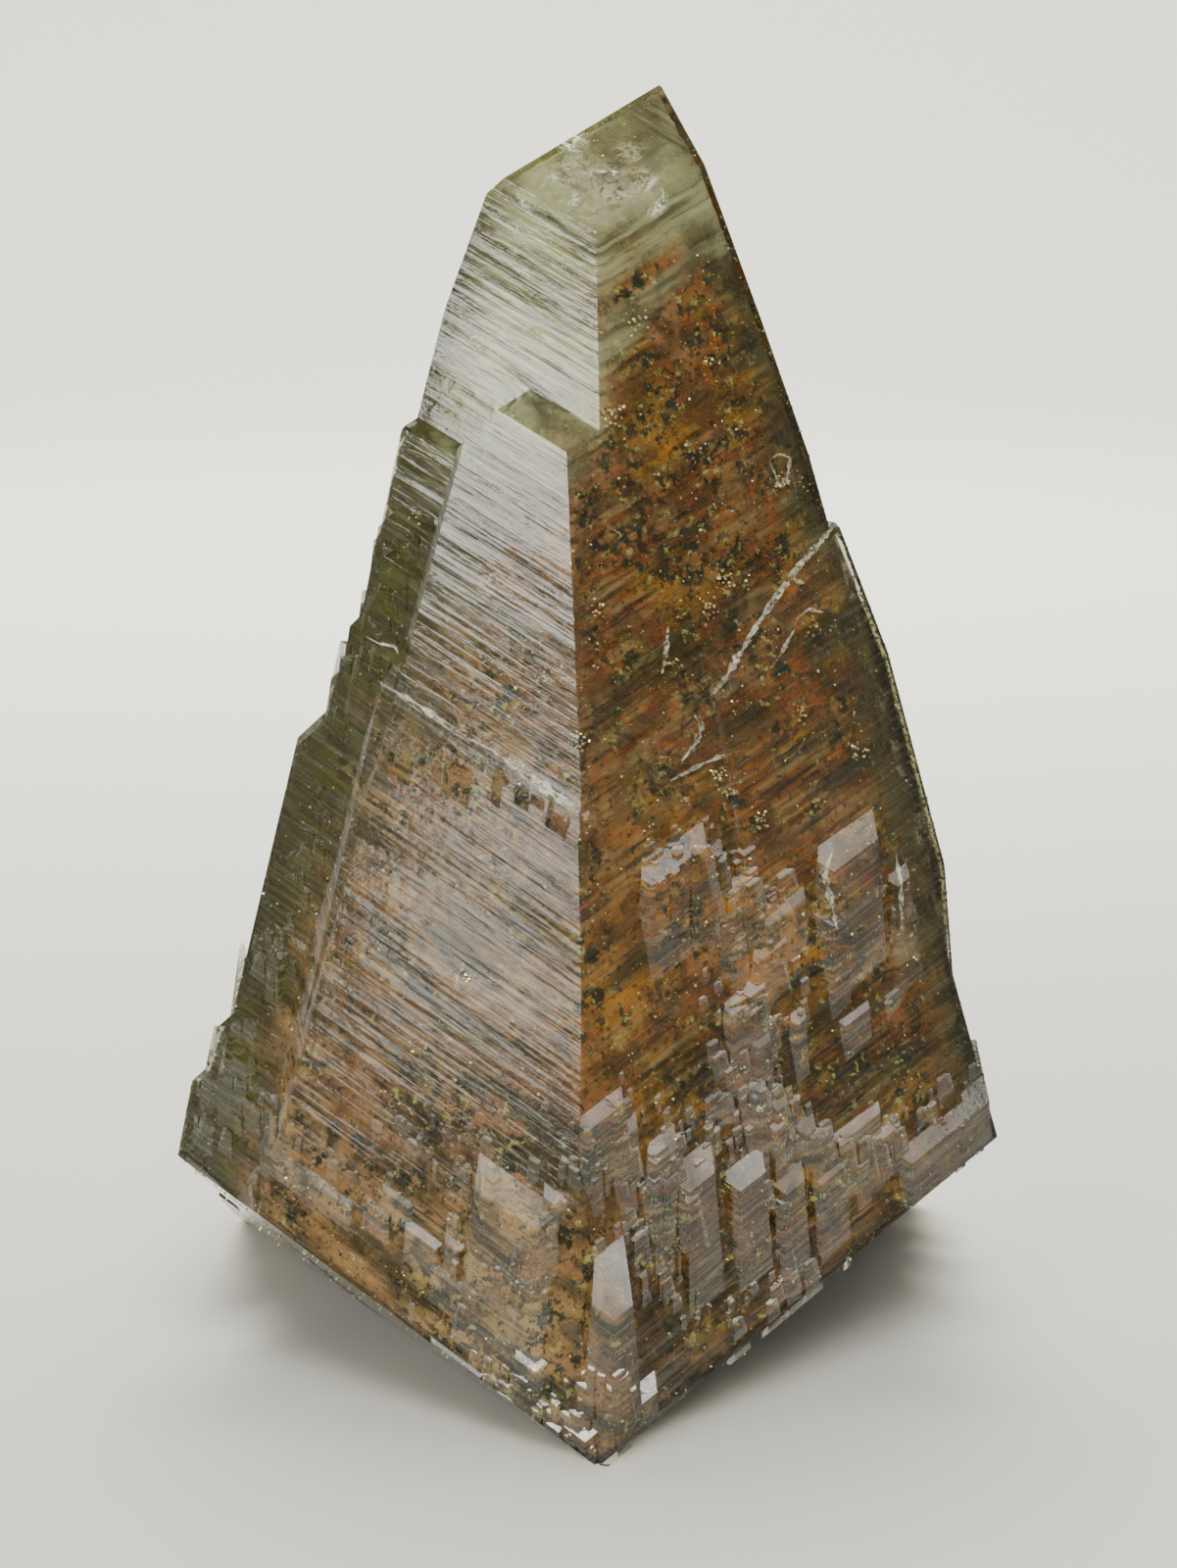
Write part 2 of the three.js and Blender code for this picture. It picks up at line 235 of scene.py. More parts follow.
# %% Copy the small crystals into swarms
# path, spread in mm, how many, smallest and largest size
SWARMS = [
    ([(-3.5, 25.5), (-1, 24), (0.8, 21.2)], 1.2, 22, 0.25, 0.6),
    ([(2.2, 22), (7, 21.5), (5.5, 17.5), (2, 17)], 1.8, 80, 0.25, 0.75),
    ([(11, 31.3), (14.2, 28.9), (17, 26.5), (20.5, 23.5)], 1.1, 44, 0.35, 1),
    ([(1.5, 29.5), (5, 27), (9, 26.5), (13, 27), (18, 27)], 1.6, 50, 0.3, 0.8),
    ([(3.8, 50.2), (8.2, 51.4), (11.8, 48.9), (16.3, 44.7)], 1.3, 44, 0.3, 0.9),
    ([(14, 41.9), (12.6, 38.7), (15.2, 35), (20, 37.8)], 1.8, 38, 0.3, 0.8),
    ([(20.5, 46.4), (21.7, 41.3)], 0.8, 12, 0.2, 0.5),
    ([(28.1, 48.1), (28.9, 38.5)], 0.9, 14, 0.2, 0.5),
    ([(22.4, 23.1), (28.2, 24.6), (35, 26.2)], 1.3, 30, 0.25, 0.7),
    ([(-14.6, 21.7), (-4.3, 23), (-6.2, 13.3), (-13.8, 16)], 1.6, 60, 0.2, 0.7),
    ([(-11.3, 6.6), (-6.3, 4.5), (-1.3, 2.2)], 1.2, 60, 0.3, 0.9),
    ([(-19.8, 27.7), (-14.6, 24.2), (-9.4, 27.3), (-5.9, 31.8)], 1.6, 46, 0.2, 0.6),
    ([(-31.5, 27), (-26.9, 24.5), (-20.7, 21.7)], 0.8, 24, 0.25, 0.7),
    ([(16, 22), (16.8, 16.3), (16.3, 10.3)], 0.5, 26, 0.2, 0.5),
    ([(7.7, 11), (14.9, 10.5), (21.4, 14.6)], 1.4, 20, 0.25, 0.6),
    ([(2.2, 6.4), (-1.2, 8)], 1.2, 16, 0.3, 0.8),
    ([(-22.5, 61.7), (-19.8, 68.1), (-17.2, 72.4), (-14.9, 79.3)], 0.9, 50, 0.3, 0.85),
    ([(-35, 27), (-31.8, 33.4), (-33.8, 23.6)], 1.2, 40, 0.3, 0.8),
    ([(7.2, 68.2), (9.5, 62.6)], 0.8, 10, 0.15, 0.35),
    ([(17.7, 82), (18.5, 80.5)], 0.8, 6, 0.2, 0.4),
    ([(20.4, 69.5), (21.5, 66)], 0.9, 8, 0.2, 0.4),
    ([(-18, 58), (-9, 57), (-1.2, 54)], 0.35, 26, 0.4, 1.1),
    ([(-29.5, 38), (-26, 47), (-23, 56)], 0.9, 34, 0.3, 0.65),
    ([(21.8, 76.6), (19, 74), (16.7, 71.1), (14.8, 68.7)], 0.12, 44, 0.18, 0.3),
    ([(14.8, 68.7), (13.4, 66.7), (11.6, 63.8)], 0.2, 26, 0.22, 0.42),
    ([(10.2, 61.6), (7.6, 58.8), (4.8, 57.2)], 0.35, 22, 0.2, 0.4),
]
CHIPS_PER_SIDE = 130  # strewn over each of the two rear thirds
LOWEST_CHIP = 1.5 * MM
chance = random.Random(41)


def along_path(path, spread_mm):
    start = chance.randrange(len(path) - 1)
    share = chance.random()
    x = path[start][0] * (1 - share) + path[start + 1][0] * share
    z = path[start][1] * (1 - share) + path[start + 1][1] * share
    return x + chance.gauss(0, spread_mm), z + chance.gauss(0, spread_mm)


def planted(x, z, size, turn=0):
    """A copy of a small crystal on the skin. A turn of 120 or 240 takes it to another side."""
    around = Matrix.Rotation(math.radians(turn), 4, "Z")
    towards = around.to_3x3() @ Vector((0, 1, 0))
    start = AXIS + around @ Vector((x * MM, -0.1, z * MM))
    hit, point, _, _ = skin.ray_cast(start, towards)
    if not hit or point.z < LOWEST_CHIP:
        return None
    long_side = 1 if x < 0 else 2
    shape = MASTERS[chance.choices((0, long_side, 3), weights=(4, 3, 2))[0]]
    piece = copied(shape, "chip")
    out = Matrix.Translation(point - towards * size * 0.45 * MM)
    piece.data.transform(out @ around @ Matrix.Scale(size, 4))
    return piece


chips = []
for path, spread_mm, how_many, smallest, largest in SWARMS:
    for _ in range(how_many):
        size = smallest + (largest - smallest) * chance.random() ** 2
        chips.append(planted(*along_path(path, spread_mm), size))
for turn in (120, 240):
    for _ in range(CHIPS_PER_SIDE):
        z = 4 + 70 * chance.random() ** 1.5
        x = chance.uniform(-1, 1) * (30 - 0.25 * z)
        chips.append(planted(x, z, 0.3 + 0.8 * chance.random() ** 2, turn))
chips = [chip for chip in chips if chip]
for master in MASTERS:
    bpy.data.objects.remove(master)
print("There are", len(chips), "chips")

# %% [markdown]
# ## Fusing the swarms
#
# A union is clean only if the pieces in one operand don't cross each other. So the chips are dealt
# into layers, each chip into the first layer where its box is free, and the layers are joined to
# the skin one after another. Last, a block cleaved like the underside trims what hangs below it.


# %% Fuse the chips with the skin
def box_of(piece):
    corners = [vertex.co for vertex in piece.data.vertices]
    return [f(corner[axis] for corner in corners) for f in (min, max) for axis in range(3)]


def apart(a, b):
    return any(a[axis] > b[axis + 3] or b[axis] > a[axis + 3] for axis in range(3))


layers = []
for chip in chips:
    box = box_of(chip)
    layer = next((l for l in layers if all(apart(box, other) for _, other in l)), None)
    if layer is None:
        layer = []
        layers.append(layer)
    layer.append((chip, box))
for layer in layers:
    swarm = joined([chip for chip, _ in layer], "swarm")
    finished(skin, "BOOLEAN", operation="UNION", object=swarm, solver="MANIFOLD")
    bpy.data.objects.remove(swarm)

WAIST_RADIUS = 44
CORNER_RISE = 2 / 3 * WAIST_RADIUS / RADIUS_PER_RISE
HAIR = 0.02 * MM


def underside(inset):
    """The three faces below the waist and the flat cut, moved `inset` metres into the crystal."""
    planes = [(Vector((0, 0, -1)), at(0, 0, 0) + Vector((0, 0, inset)))]
    for azimuth in (-30, 90, -150):
        normal = cleavage_normal(azimuth, -1)
        corner = AXIS + polar(azimuth, WAIST_RADIUS, CORNER_RISE) * MM
        planes.append((normal, corner - normal * inset))
    return planes


trim = cleave(block("trim", at(0, 0, 100), 0.3), underside(-0.5 * MM - HAIR)[1:])
cleave(trim, underside(-HAIR)[:1])
finished(skin, "BOOLEAN", operation="INTERSECT", object=trim, solver="MANIFOLD")
bpy.data.objects.remove(trim)
print(len(layers), "layers of chips are fused")
print("The skin now has", count(skin), "triangles")

# %% [markdown]
# ## How far the dust reaches
#
# The real crystal is full of rust-brown dust, but the summit, the left wing and the left edge of
# each plate stayed nearly clear. The border is a few planes: one list for each part of the front.
# The dust lies inside all the planes of at least one list. The cloud below is cleaved along them,
# and later the colours change along them.

# %% Planes that bound the dust
LEFT_WING = (flank_normal(LEFT, 1, 4.8), at(-15, -13.2, 80))
DUST_LIMITS = {
    "right_side": [
        (Vector((-1, 0.25, 0)).normalized(), at(-1, -23, 90)),
        (cleavage_normal(FRONT), at(4.5, -17.2, 97)),
        LEFT_WING,
    ],
    "middle_plate": [
        (Vector((-0.9, 0, 0.44)).normalized(), at(-8.5, -18.2, 76)),
        (cleavage_normal(FRONT), at(-0.5, -24.2, 81)),
        LEFT_WING,
    ],
    "low_plate": [
        (Vector((-0.95, 0.1, 0.29)).normalized(), at(-21, -23.2, 53)),
        (cleavage_normal(FRONT), surface(-3, 54.5) - Vector((0, 0, 2 * MM))),
        LEFT_WING,
    ],
    "foot": [
        (cleavage_normal(FRONT), surface(-20, 18)),
        LEFT_WING,
    ],
}

# %% [markdown]
# ## The deep cloud
#
# The dust settled on the crystal while it grew, so the deep cloud repeats the outer faces two
# millimetres in. It is made of a few lumps, each cleaved from a block along planes that lie under
# the faces. A voxel remesh melts the lumps into one closed skin, and two displacements push that
# skin inwards by uneven amounts, so that it looks like a cloud and never breaks through.

# %% Cleave the lumps of the cloud
CLEAR_RIM = 2.1  # mm of calcite over the deep cloud on the front faces


def under(azimuth, side, steepness, x, z, depth=CLEAR_RIM):
    """A plane that lies `depth` mm under the skin's front at (x, z)."""
    normal = flank_normal(azimuth, side, steepness)
    return normal, surface(x, z) - normal * depth * MM


FRONT_RIGHT = [
    under(FRONT, 1, 3.41, 4, 95),
    under(FRONT, 1, 4.1, 4, 72),
    under(FRONT, 1, 4.8, 4, 52),
]
RIGHT_RIM = [
    (flank_normal(RIGHT, -1, 3.55), at(21.4, -14, 78.4)),
    (flank_normal(RIGHT, -1, 4.8), at(35.3, -21.5, 26)),
]
REAR = [
    (flank_normal(RIGHT, 1, 4.8), at(0.5, 34, 21.7)),
    (flank_normal(LEFT, -1, 4.8), at(0.5, 34, 21.7)),
    (flank_normal(RIGHT, 1, 3.41), at(0.5, 9.8, 100)),
    (flank_normal(LEFT, -1, 3.41), at(0.5, 9.8, 100)),
]
FRONT_LEFT = {
    "right_side": [],
    "middle_plate": [under(FRONT, -1, 5, -4, 70)],
    "low_plate": [under(FRONT, -1, 5, -8, 40)],
    "foot": [under(FRONT, -1, 5, -22, 9)],
}
EVERYWHERE = [*FRONT_RIGHT, *RIGHT_RIM, *REAR, *underside(1.6 * MM)]

lumps = []
for name, limits in DUST_LIMITS.items():
    lumps.append(cleave(block(name, at(0, 0, 60), 0.2), [*limits, *FRONT_LEFT[name], *EVERYWHERE]))
    print(name, "has", len(lumps[-1].data.polygons), "faces")
cloud = joined(lumps, "inclusion_cloud")

# %% Melt the lumps together and roughen them
VOXEL = 1.1 * MM
finished(cloud, "REMESH", mode="VOXEL", voxel_size=VOXEL)
for size, depth in ((7, 1.6), (2.2, 0.7)):
    pattern = bpy.data.textures.new(f"cloud_{size}", "CLOUDS")
    pattern.noise_scale = size * MM
    pattern.noise_depth = 2
    finished(
        cloud, "DISPLACE", texture=pattern, strength=depth * MM, mid_level=1.0, texture_coords="LOCAL"
    )
take_up(cloud)
bpy.ops.object.shade_smooth()
print("The cloud has", count(cloud), "triangles")

# %% [markdown]
# ## The dust layer under the faces
#
# Over the deep cloud lies a thin, patchy layer of dust, just under the faces. It is a copy of the
# solid, remeshed into small even squares, drawn a third of a millimetre inwards and roughened like
# the cloud. Its material later makes it dense over the brown parts and a pale haze over the clear
# ones, so the eye sees through it to the cloud.

# %% Draw a copy of the solid inwards
DUST_DEPTH = 0.35 * MM
DUST_FOOT = 0.1 * MM  # nothing of the layer hangs below this, so it stays above the flat cut
dust = copied(solid, "dust_layer")
finished(dust, "REMESH", mode="VOXEL", voxel_size=0.75 * MM)
finished(dust, "DISPLACE", strength=-DUST_DEPTH, mid_level=0.0)
uneven = bpy.data.textures.new("dust_unevenness", "CLOUDS")
uneven.noise_scale = 3 * MM
finished(dust, "DISPLACE", texture=uneven, strength=0.45 * MM, mid_level=1.0, texture_coords="LOCAL")
for vertex in dust.data.vertices:
    vertex.co.z = max(vertex.co.z, DUST_FOOT)
take_up(dust)
bpy.ops.object.shade_smooth()
print("The dust layer has", count(dust), "triangles")

# %% [markdown]
# ## Golden grains
#
# The sparkle is sulphide: thousands of grains, most of them a tenth of a millimetre across, on the
# faces and just under them. Each is an octahedron of eight flat sides, which is enough at that size,
# and the flat sides are what makes them flash. One grain is modelled and copied into a single mesh.
# A second mesh is the darker crust that roughens the sharp edges, most of it on the right one.

# %% Scatter the grains
GRAINS = 8500
KEPT_OVER_CLEAR = 0.45  # share of the grains that stay where no cloud backs the skin
chance = random.Random(7)


def scattered(mesh, how_many):
    """Points spread evenly over a mesh, each with its face's normal."""
    mesh.calc_loop_triangles()
    triangles = list(mesh.loop_triangles)
    picks = chance.choices(triangles, weights=[t.area for t in triangles], k=how_many)
    for triangle in picks:
        a, b, c = (mesh.vertices[i].co for i in triangle.vertices)
        u, v = chance.random(), chance.random()
        if u + v > 1:
            u, v = 1 - u, 1 - v
        yield a + (b - a) * u + (c - a) * v, triangle.normal.copy()


TIPS = ((1, 0, 0), (-1, 0, 0), (0, 1, 0), (0, -1, 0), (0, 0, 1), (0, 0, -1))
OCTAHEDRON = [Vector(tip) for tip in TIPS]
SIDES = [(0, 2, 4), (2, 1, 4), (1, 3, 4), (3, 0, 4), (2, 0, 5), (1, 2, 5), (3, 1, 5), (0, 3, 5)]


def grains(name, places):
    """One mesh of octahedral grains. Each place is (centre, radius in mm)."""
    points, faces = [], []
    for centre, radius in places:
        angle = chance.uniform(0, 6.3)
        turn = Matrix.Rotation(angle, 3, Vector((chance.random(), chance.random(), 1)))
        start = len(points)
        stretch = Vector((1, chance.uniform(0.6, 1), chance.uniform(0.4, 0.9)))
        points += [centre + turn @ (p * stretch) * radius * MM for p in OCTAHEDRON]
        faces += [tuple(start + i for i in side) for side in SIDES]
    mesh = bpy.data.meshes.new(name)
    mesh.from_pydata(points, [], faces)
    piece = bpy.data.objects.new(name, mesh)
    bpy.context.scene.collection.objects.link(piece)
    return piece


def near_brown(point):
    """True on the part of the skin that the cloud backs: not the summit or the left wing."""
    x, _, z = (point - AXIS) / MM
    left_edge = -21.5 - 0.42 * (53 - z) if z < 56 else -21.5 + 0.62 * (z - 56)
    return z < 104 and x > left_edge


places = []
for point, normal in scattered(skin.data, GRAINS):
    if not near_brown(point) and chance.random() > KEPT_OVER_CLEAR:
        continue
    radius = 0.07 + 0.14 * chance.random() ** 3
    depth = chance.choice((-0.03, 0.05, 0.5)) * MM
    if point.z > 1 * MM:
        places.append((point - normal * depth, radius))

# Clumps of coarser grains, at places across and up in mm.
CLUMPS = [
    (11, 92.3), (4.3, 96), (-11.6, 39.6), (-27, 19.7), (-9.5, 93.8), (17.9, 81.1), (11.5, 56.5),
    (20.4, 68.7), (-1.4, 60.6), (0.5, 71.6), (-8.9, 73.9), (12.2, 73.3), (10.5, 70.8), (7.5, 66.2),
    (11.8, 54.8), (15.3, 52.2), (2, 88), (9.6, 84.6), (-4, 66), (19.2, 61.3), (24.6, 57.4),
]
for x, z in CLUMPS:
    for _ in range(chance.randint(12, 26)):
        near = surface(x + chance.gauss(0, 0.5), z + chance.gauss(0, 0.5), chance.uniform(0, 0.3))
        places.append((near, chance.uniform(0.1, 0.26)))
sparkle = grains("sulphide_grains", places)
print("There are", len(places), "grains with", count(sparkle), "triangles")


def edge_grains(azimuth, how_many, top):
    """Places along the sharp edge at an azimuth, found by rays that aim at the axis beside it."""
    for _ in range(how_many):
        start = AXIS + polar(azimuth, 100, chance.uniform(3, top)) * MM
        start += polar(azimuth + 90, chance.uniform(-0.7, 2.1), 0) * MM
        hit, point, normal, _ = skin.ray_cast(start, -polar(azimuth, 1, 0))
        if hit:
            yield point - normal * 0.09 * MM, chance.uniform(0.08, 0.24)


places = [*edge_grains(-30, 3400, 90), *edge_grains(90, 500, 80), *edge_grains(-150, 300, 30)]
crust = grains("edge_crust", places)
print("The crust has", len(places), "grains")

# %% [markdown]
# ## Fractures under the summit
#
# When the point was split off, the split sent small curved cracks into the crystal. Each is a veil
# thinner than paper that mirrors the light from inside: a round grid, bent by a displacement and
# tilted a little against the summit's cleavage.

# %% Bend the fractures
# place across and up in mm, radius in mm, tilt and turn in degrees
FRACTURES = [
    (-0.5, 109.3, 2.8, 22, 20),
    (2.1, 107.6, 3.2, -16, 130),
    (4.8, 108.5, 2.4, 26, 250),
    (0.2, 105.8, 2.8, 14, 80),
    (-3.2, 108.1, 2.2, 24, 320),
    (4.1, 111.1, 2, -24, 40),
    (-0.8, 111.9, 1.9, 20, 190),
    (6.2, 106.4, 2, 20, 290),
    (2.6, 109.6, 2.2, 34, 160),
    (-1.6, 106.8, 1.8, -30, 60),
    (-5.2, 106.6, 1.6, 28, 100),
    (0.6, 108.4, 1.6, 40, 10),
    (3.6, 106.2, 1.8, -34, 200),
]
bend = bpy.data.textures.new("fracture_bend", "CLOUDS")
bend.noise_scale = 2.5 * MM
pieces = []
for x, z, radius, tilt, spin in FRACTURES:
    bpy.ops.object.select_all(action="DESELECT")
    bpy.ops.mesh.primitive_grid_add(x_subdivisions=14, y_subdivisions=14, size=2 * radius * MM)
    piece = bpy.context.object
    lay = cleavage_normal(FRONT).to_track_quat("Z", "Y").to_matrix().to_4x4()
    lean = Matrix.Rotation(math.radians(spin), 4, "Z") @ Matrix.Rotation(math.radians(tilt), 4, "X")
    sunk = surface(x, z, 0.35 + 0.3 * radius)
    piece.data.transform(Matrix.Translation(sunk) @ lay @ lean)
    finished(piece, "DISPLACE", texture=bend, strength=0.9 * MM, mid_level=0.6, texture_coords="LOCAL")
    pieces.append(piece)
fractures = joined(pieces, "summit_fractures")
bpy.ops.object.shade_smooth()
print("The fractures have", count(fractures), "triangles")

# %% [markdown]
# ## Painted highlights on the scar, pits and ledges
#
# Where the layer on the right meets the crystal there is a thin scar, and around it a few pits. Pale
# strips lie on the scar, on the pit rims and on a few ledges and facets: painted highlights where
# these edges catch the light. Each is a strip: a grid one square wide, laid along a path a hair under
# the skin, widest in the middle and a little uneven.

# %% Lay the painted highlight strips
# Each strip below is a painted highlight on a scar, a pit rim, a ledge or a facet.
# path across and up in mm, width in mm
HIGHLIGHT_PATHS = [
    ([(-9, 59.3), (-5.6, 57.2), (-3.1, 55.6), (-1.4, 54.6)], 1.1),
    ([(-19, 64.3), (-15.9, 62.9), (-11.6, 60.4), (-9, 59.2)], 0.55),
    ([(21.9, 49.2), (20.9, 47.4), (21.6, 44.6), (22.1, 42.4)], 0.7),
    ([(28.1, 48), (28.4, 45.6), (28.5, 41.4)], 0.45),
    ([(22.5, 77.3), (21.2, 75.9), (19, 73.8), (16.6, 71), (14.7, 68.6), (13.3, 66.6)], 0.5),
    ([(14, 67.4), (13.3, 66.6), (12.1, 64.9), (10.8, 63.5)], 0.62),
    ([(12.6, 58.3), (10, 57.6), (6.9, 56.4)], 0.4),
    ([(6.9, 69.5), (6.7, 67.6), (6.3, 65.6)], 0.5),
    ([(9.2, 61.8), (9.9, 60.8), (9.3, 59.4), (8, 58)], 0.55),
    ([(18.6, 72.9), (19.6, 72.6)], 0.5),
    ([(18.8, 69.5), (20, 70.3), (21.4, 69.9)], 0.35),
    ([(16.9, 66), (17.7, 67.2), (18.6, 68.6)], 0.4),
    ([(16.6, 83.4), (17.5, 83.9), (18.6, 83.5), (18.3, 81.8), (17.6, 80.9), (17.1, 82.2),
      (16.6, 83.4)], 0.35),
]


def highlight_strip(path, width):
    bpy.ops.object.select_all(action="DESELECT")
    steps = 7 * (len(path) - 1)
    bpy.ops.mesh.primitive_grid_add(x_subdivisions=steps, y_subdivisions=1, size=2)
    strip = bpy.context.object
    wobble = [chance.uniform(0.3, 1.35) for _ in range(steps + 1)]
    for vertex in strip.data.vertices:
        share = (vertex.co.x + 1) / 2
        step = min(int(share * (len(path) - 1)), len(path) - 2)
        part = share * (len(path) - 1) - step
        (x0, z0), (x1, z1) = path[step], path[step + 1]
        length = math.hypot(x1 - x0, z1 - z0)
        taper = math.sin(math.pi * (0.08 + 0.84 * share))
        half = 0.5 * width * wobble[round(share * steps)] * taper
        half *= 1 if vertex.co.y > 0 else -1
        x = x0 + (x1 - x0) * part + (z1 - z0) / length * half
        z = z0 + (z1 - z0) * part - (x1 - x0) / length * half
        vertex.co = surface(x, z, 0.12)
    return strip


highlight_strips = joined([highlight_strip(path, width) for path, width in HIGHLIGHT_PATHS], "scar_and_ledge_highlights")
print("The scars have", count(highlight_strips), "triangles")

# %% [markdown]
# ## Growth lines
#
# Every flank carries fine lines, parallel to the ledges. On all the flanks around one blunt edge
# they lie in planes parallel to that edge's cleavage, so the distance along the cleavage normal is
# the only number that changes from line to line. The group below measures that distance, picking
# the right cleavage for each third of the crystal, and stretches a noise texture along the lines.
# The skin uses it for its relief and the dust for its streaks, so it is a group with named inputs.
# Its second output is how far inside the front's two sharp edges a place is, in mm.


# %% The growth line group
VECTOR, NUMBER, COLOUR = "NodeSocketVector", "NodeSocketFloat", "NodeSocketColor"


def new_group(name, inputs, outputs):
    group = bpy.data.node_groups.new(name, "ShaderNodeTree")
    for way, sockets in (("INPUT", inputs), ("OUTPUT", outputs)):
        for label, kind in sockets.items():
            group.interface.new_socket(label, in_out=way, socket_type=kind)
    return group, group.nodes.new("NodeGroupInput"), group.nodes.new("NodeGroupOutput")


def fill(tree, node, values):
    """Fills a node's inputs, each with a socket that is linked or with a plain value."""
    for label, value in values.items():
        if isinstance(value, bpy.types.NodeSocket):
            tree.links.new(value, node.inputs[label])
        else:
            node.inputs[label].default_value = value


def calculate(tree, operation, *values):
    node = tree.nodes.new("ShaderNodeMath")
    node.operation = operation
    fill(tree, node, dict(enumerate(values)))
    return node.outputs[0]


def measure(tree, operation, vector, other):
    """One number from two vectors."""
    node = tree.nodes.new("ShaderNodeVectorMath")
    node.operation = operation
    fill(tree, node, {0: vector, 1: other})
    return node.outputs["Value"]


def along(tree, vector, direction):
    return measure(tree, "DOT_PRODUCT", vector, direction)


def coordinates(tree, vector):
    node = tree.nodes.new("ShaderNodeSeparateXYZ")
    tree.links.new(vector, node.inputs[0])
    return node.outputs


def growth_line_group():
    group, given, result = new_group(
        "Growth lines",
        {"Vector": VECTOR, "Length": NUMBER, "Thickness": NUMBER, "Detail": NUMBER, "Seed": NUMBER},
        {"Lines": NUMBER, "Inside the sharp edge": NUMBER},
    )
    centred = group.nodes.new("ShaderNodeVectorMath")
    centred.operation = "SUBTRACT"
    group.links.new(given.outputs["Vector"], centred.inputs[0])
    centred.inputs[1].default_value = AXIS
    vector = centred.outputs[0]
    reach = [along(group, vector, polar(azimuth, 1, 0)) for azimuth in (FRONT, RIGHT, LEFT)]
    rise = [along(group, vector, cleavage_normal(azimuth)) for azimuth in (FRONT, RIGHT, LEFT)]
    rear_reach = calculate(group, "MAXIMUM", reach[1], reach[2])
    is_front = calculate(group, "GREATER_THAN", reach[0], rear_reach)
    beside_right = calculate(group, "MAXIMUM", reach[0], reach[2])
    is_right = calculate(group, "GREATER_THAN", reach[1], beside_right)
    is_left = calculate(group, "SUBTRACT", calculate(group, "SUBTRACT", 1, is_front), is_right)
    height = calculate(group, "MULTIPLY", is_front, rise[0])
    height = calculate(group, "MULTIPLY_ADD", is_right, rise[1], height)
    height = calculate(group, "MULTIPLY_ADD", is_left, rise[2], height)

    metres_to_mm = 1 / MM
    stretched = group.nodes.new("ShaderNodeCombineXYZ")
    flat = coordinates(group, vector)
    for axis in (0, 1):
        scaled = calculate(group, "MULTIPLY", flat[axis], metres_to_mm)
        scaled = calculate(group, "DIVIDE", scaled, given.outputs["Length"])
        scaled = calculate(group, "ADD", scaled, given.outputs["Seed"])
        group.links.new(scaled, stretched.inputs[axis])
    scaled = calculate(group, "MULTIPLY", height, metres_to_mm)
    scaled = calculate(group, "DIVIDE", scaled, given.outputs["Thickness"])
    group.links.new(scaled, stretched.inputs[2])

    texture = group.nodes.new("ShaderNodeTexNoise")
    values = {"Vector": stretched.outputs[0], "Scale": 1, "Detail": given.outputs["Detail"]}
    fill(group, texture, values)
    inside = calculate(group, "SUBTRACT", reach[0], rear_reach)
    inside = calculate(group, "MULTIPLY", inside, metres_to_mm)
    fill(group, result, {"Lines": texture.outputs[0], "Inside the sharp edge": inside})
    return group


growth_lines = growth_line_group()
print("The growth line group has", len(growth_lines.nodes), "nodes")

# %% [markdown]
# ## Tools for materials
#
# All the finishes below are built from a few kinds of node: noise, growth lines, a stretch that
# turns a grey value into a mask, a mix of two colours and a ramp of several. Each kind is a short
# function, so that a finish reads as a list of what it is made of.


# %% Helpers for materials
def new_material(name):
    material = bpy.data.materials.new(name)
    material.use_nodes = True
    tree = material.node_tree
    shader = tree.nodes["Principled BSDF"]
    place = tree.nodes.new("ShaderNodeTexCoord").outputs["Object"]
    return material, tree, shader, place


def use_group(tree, group, place):
    node = tree.nodes.new("ShaderNodeGroup")
    node.node_tree = group
    tree.links.new(place, node.inputs["Vector"])
    return node


def lines(tree, place, length, thickness, detail=3.0, seed=0.0):
    """Growth lines of some length and thickness in mm."""
    node = use_group(tree, growth_lines, place)
    values = {"Length": length, "Thickness": thickness, "Detail": detail, "Seed": seed}
    fill(tree, node, values)
    return node.outputs["Lines"]


def noise(tree, place, size, detail=3.0, roughness=0.55, distortion=0.0):
    """A noise texture whose lumps are about `size` mm across."""
    node = tree.nodes.new("ShaderNodeTexNoise")
    values = {"Detail": detail, "Roughness": roughness, "Distortion": distortion}
    fill(tree, node, {"Vector": place, "Scale": 1 / (size * MM), **values})
    return node.outputs[0]


def spread(tree, value, low, high, out_low=0.0, out_high=1.0):
    """Stretches a value from low..high to out_low..out_high and clamps it."""
    node = tree.nodes.new("ShaderNodeMapRange")
    limits = {"From Min": low, "From Max": high, "To Min": out_low, "To Max": out_high}
    fill(tree, node, {"Value": value, **limits})
    return node.outputs[0]


def blend(tree, amount, first, second):
    """Mixes two colours, each an (r, g, b) or a socket."""
    node = tree.nodes.new("ShaderNodeMix")
    node.data_type = "RGBA"
    tree.links.new(amount, node.inputs["Factor"])
    for label, colour in (("A", first), ("B", second)):
        socket = next(s for s in node.inputs if s.name == label and s.type == "RGBA")
        if isinstance(colour, bpy.types.NodeSocket):
            tree.links.new(colour, socket)
        else:
            socket.default_value = (*colour, 1)
    return next(s for s in node.outputs if s.type == "RGBA")


def blend_values(tree, amount, first, second):
    node = tree.nodes.new("ShaderNodeMix")
    fill(tree, node, {"Factor": amount, "A": first, "B": second})
    return node.outputs[0]


def ramp(tree, value, stops):
    """A colour ramp through (place, (r, g, b)) stops."""
    node = tree.nodes.new("ShaderNodeValToRGB")
    tree.links.new(value, node.inputs[0])
    elements = node.color_ramp.elements
    while len(elements) < len(stops):
        elements.new(0.5)
    for element, (where, colour) in zip(elements, stops):
        element.position = where
        element.color = (*colour, 1)
    return node.outputs[0]


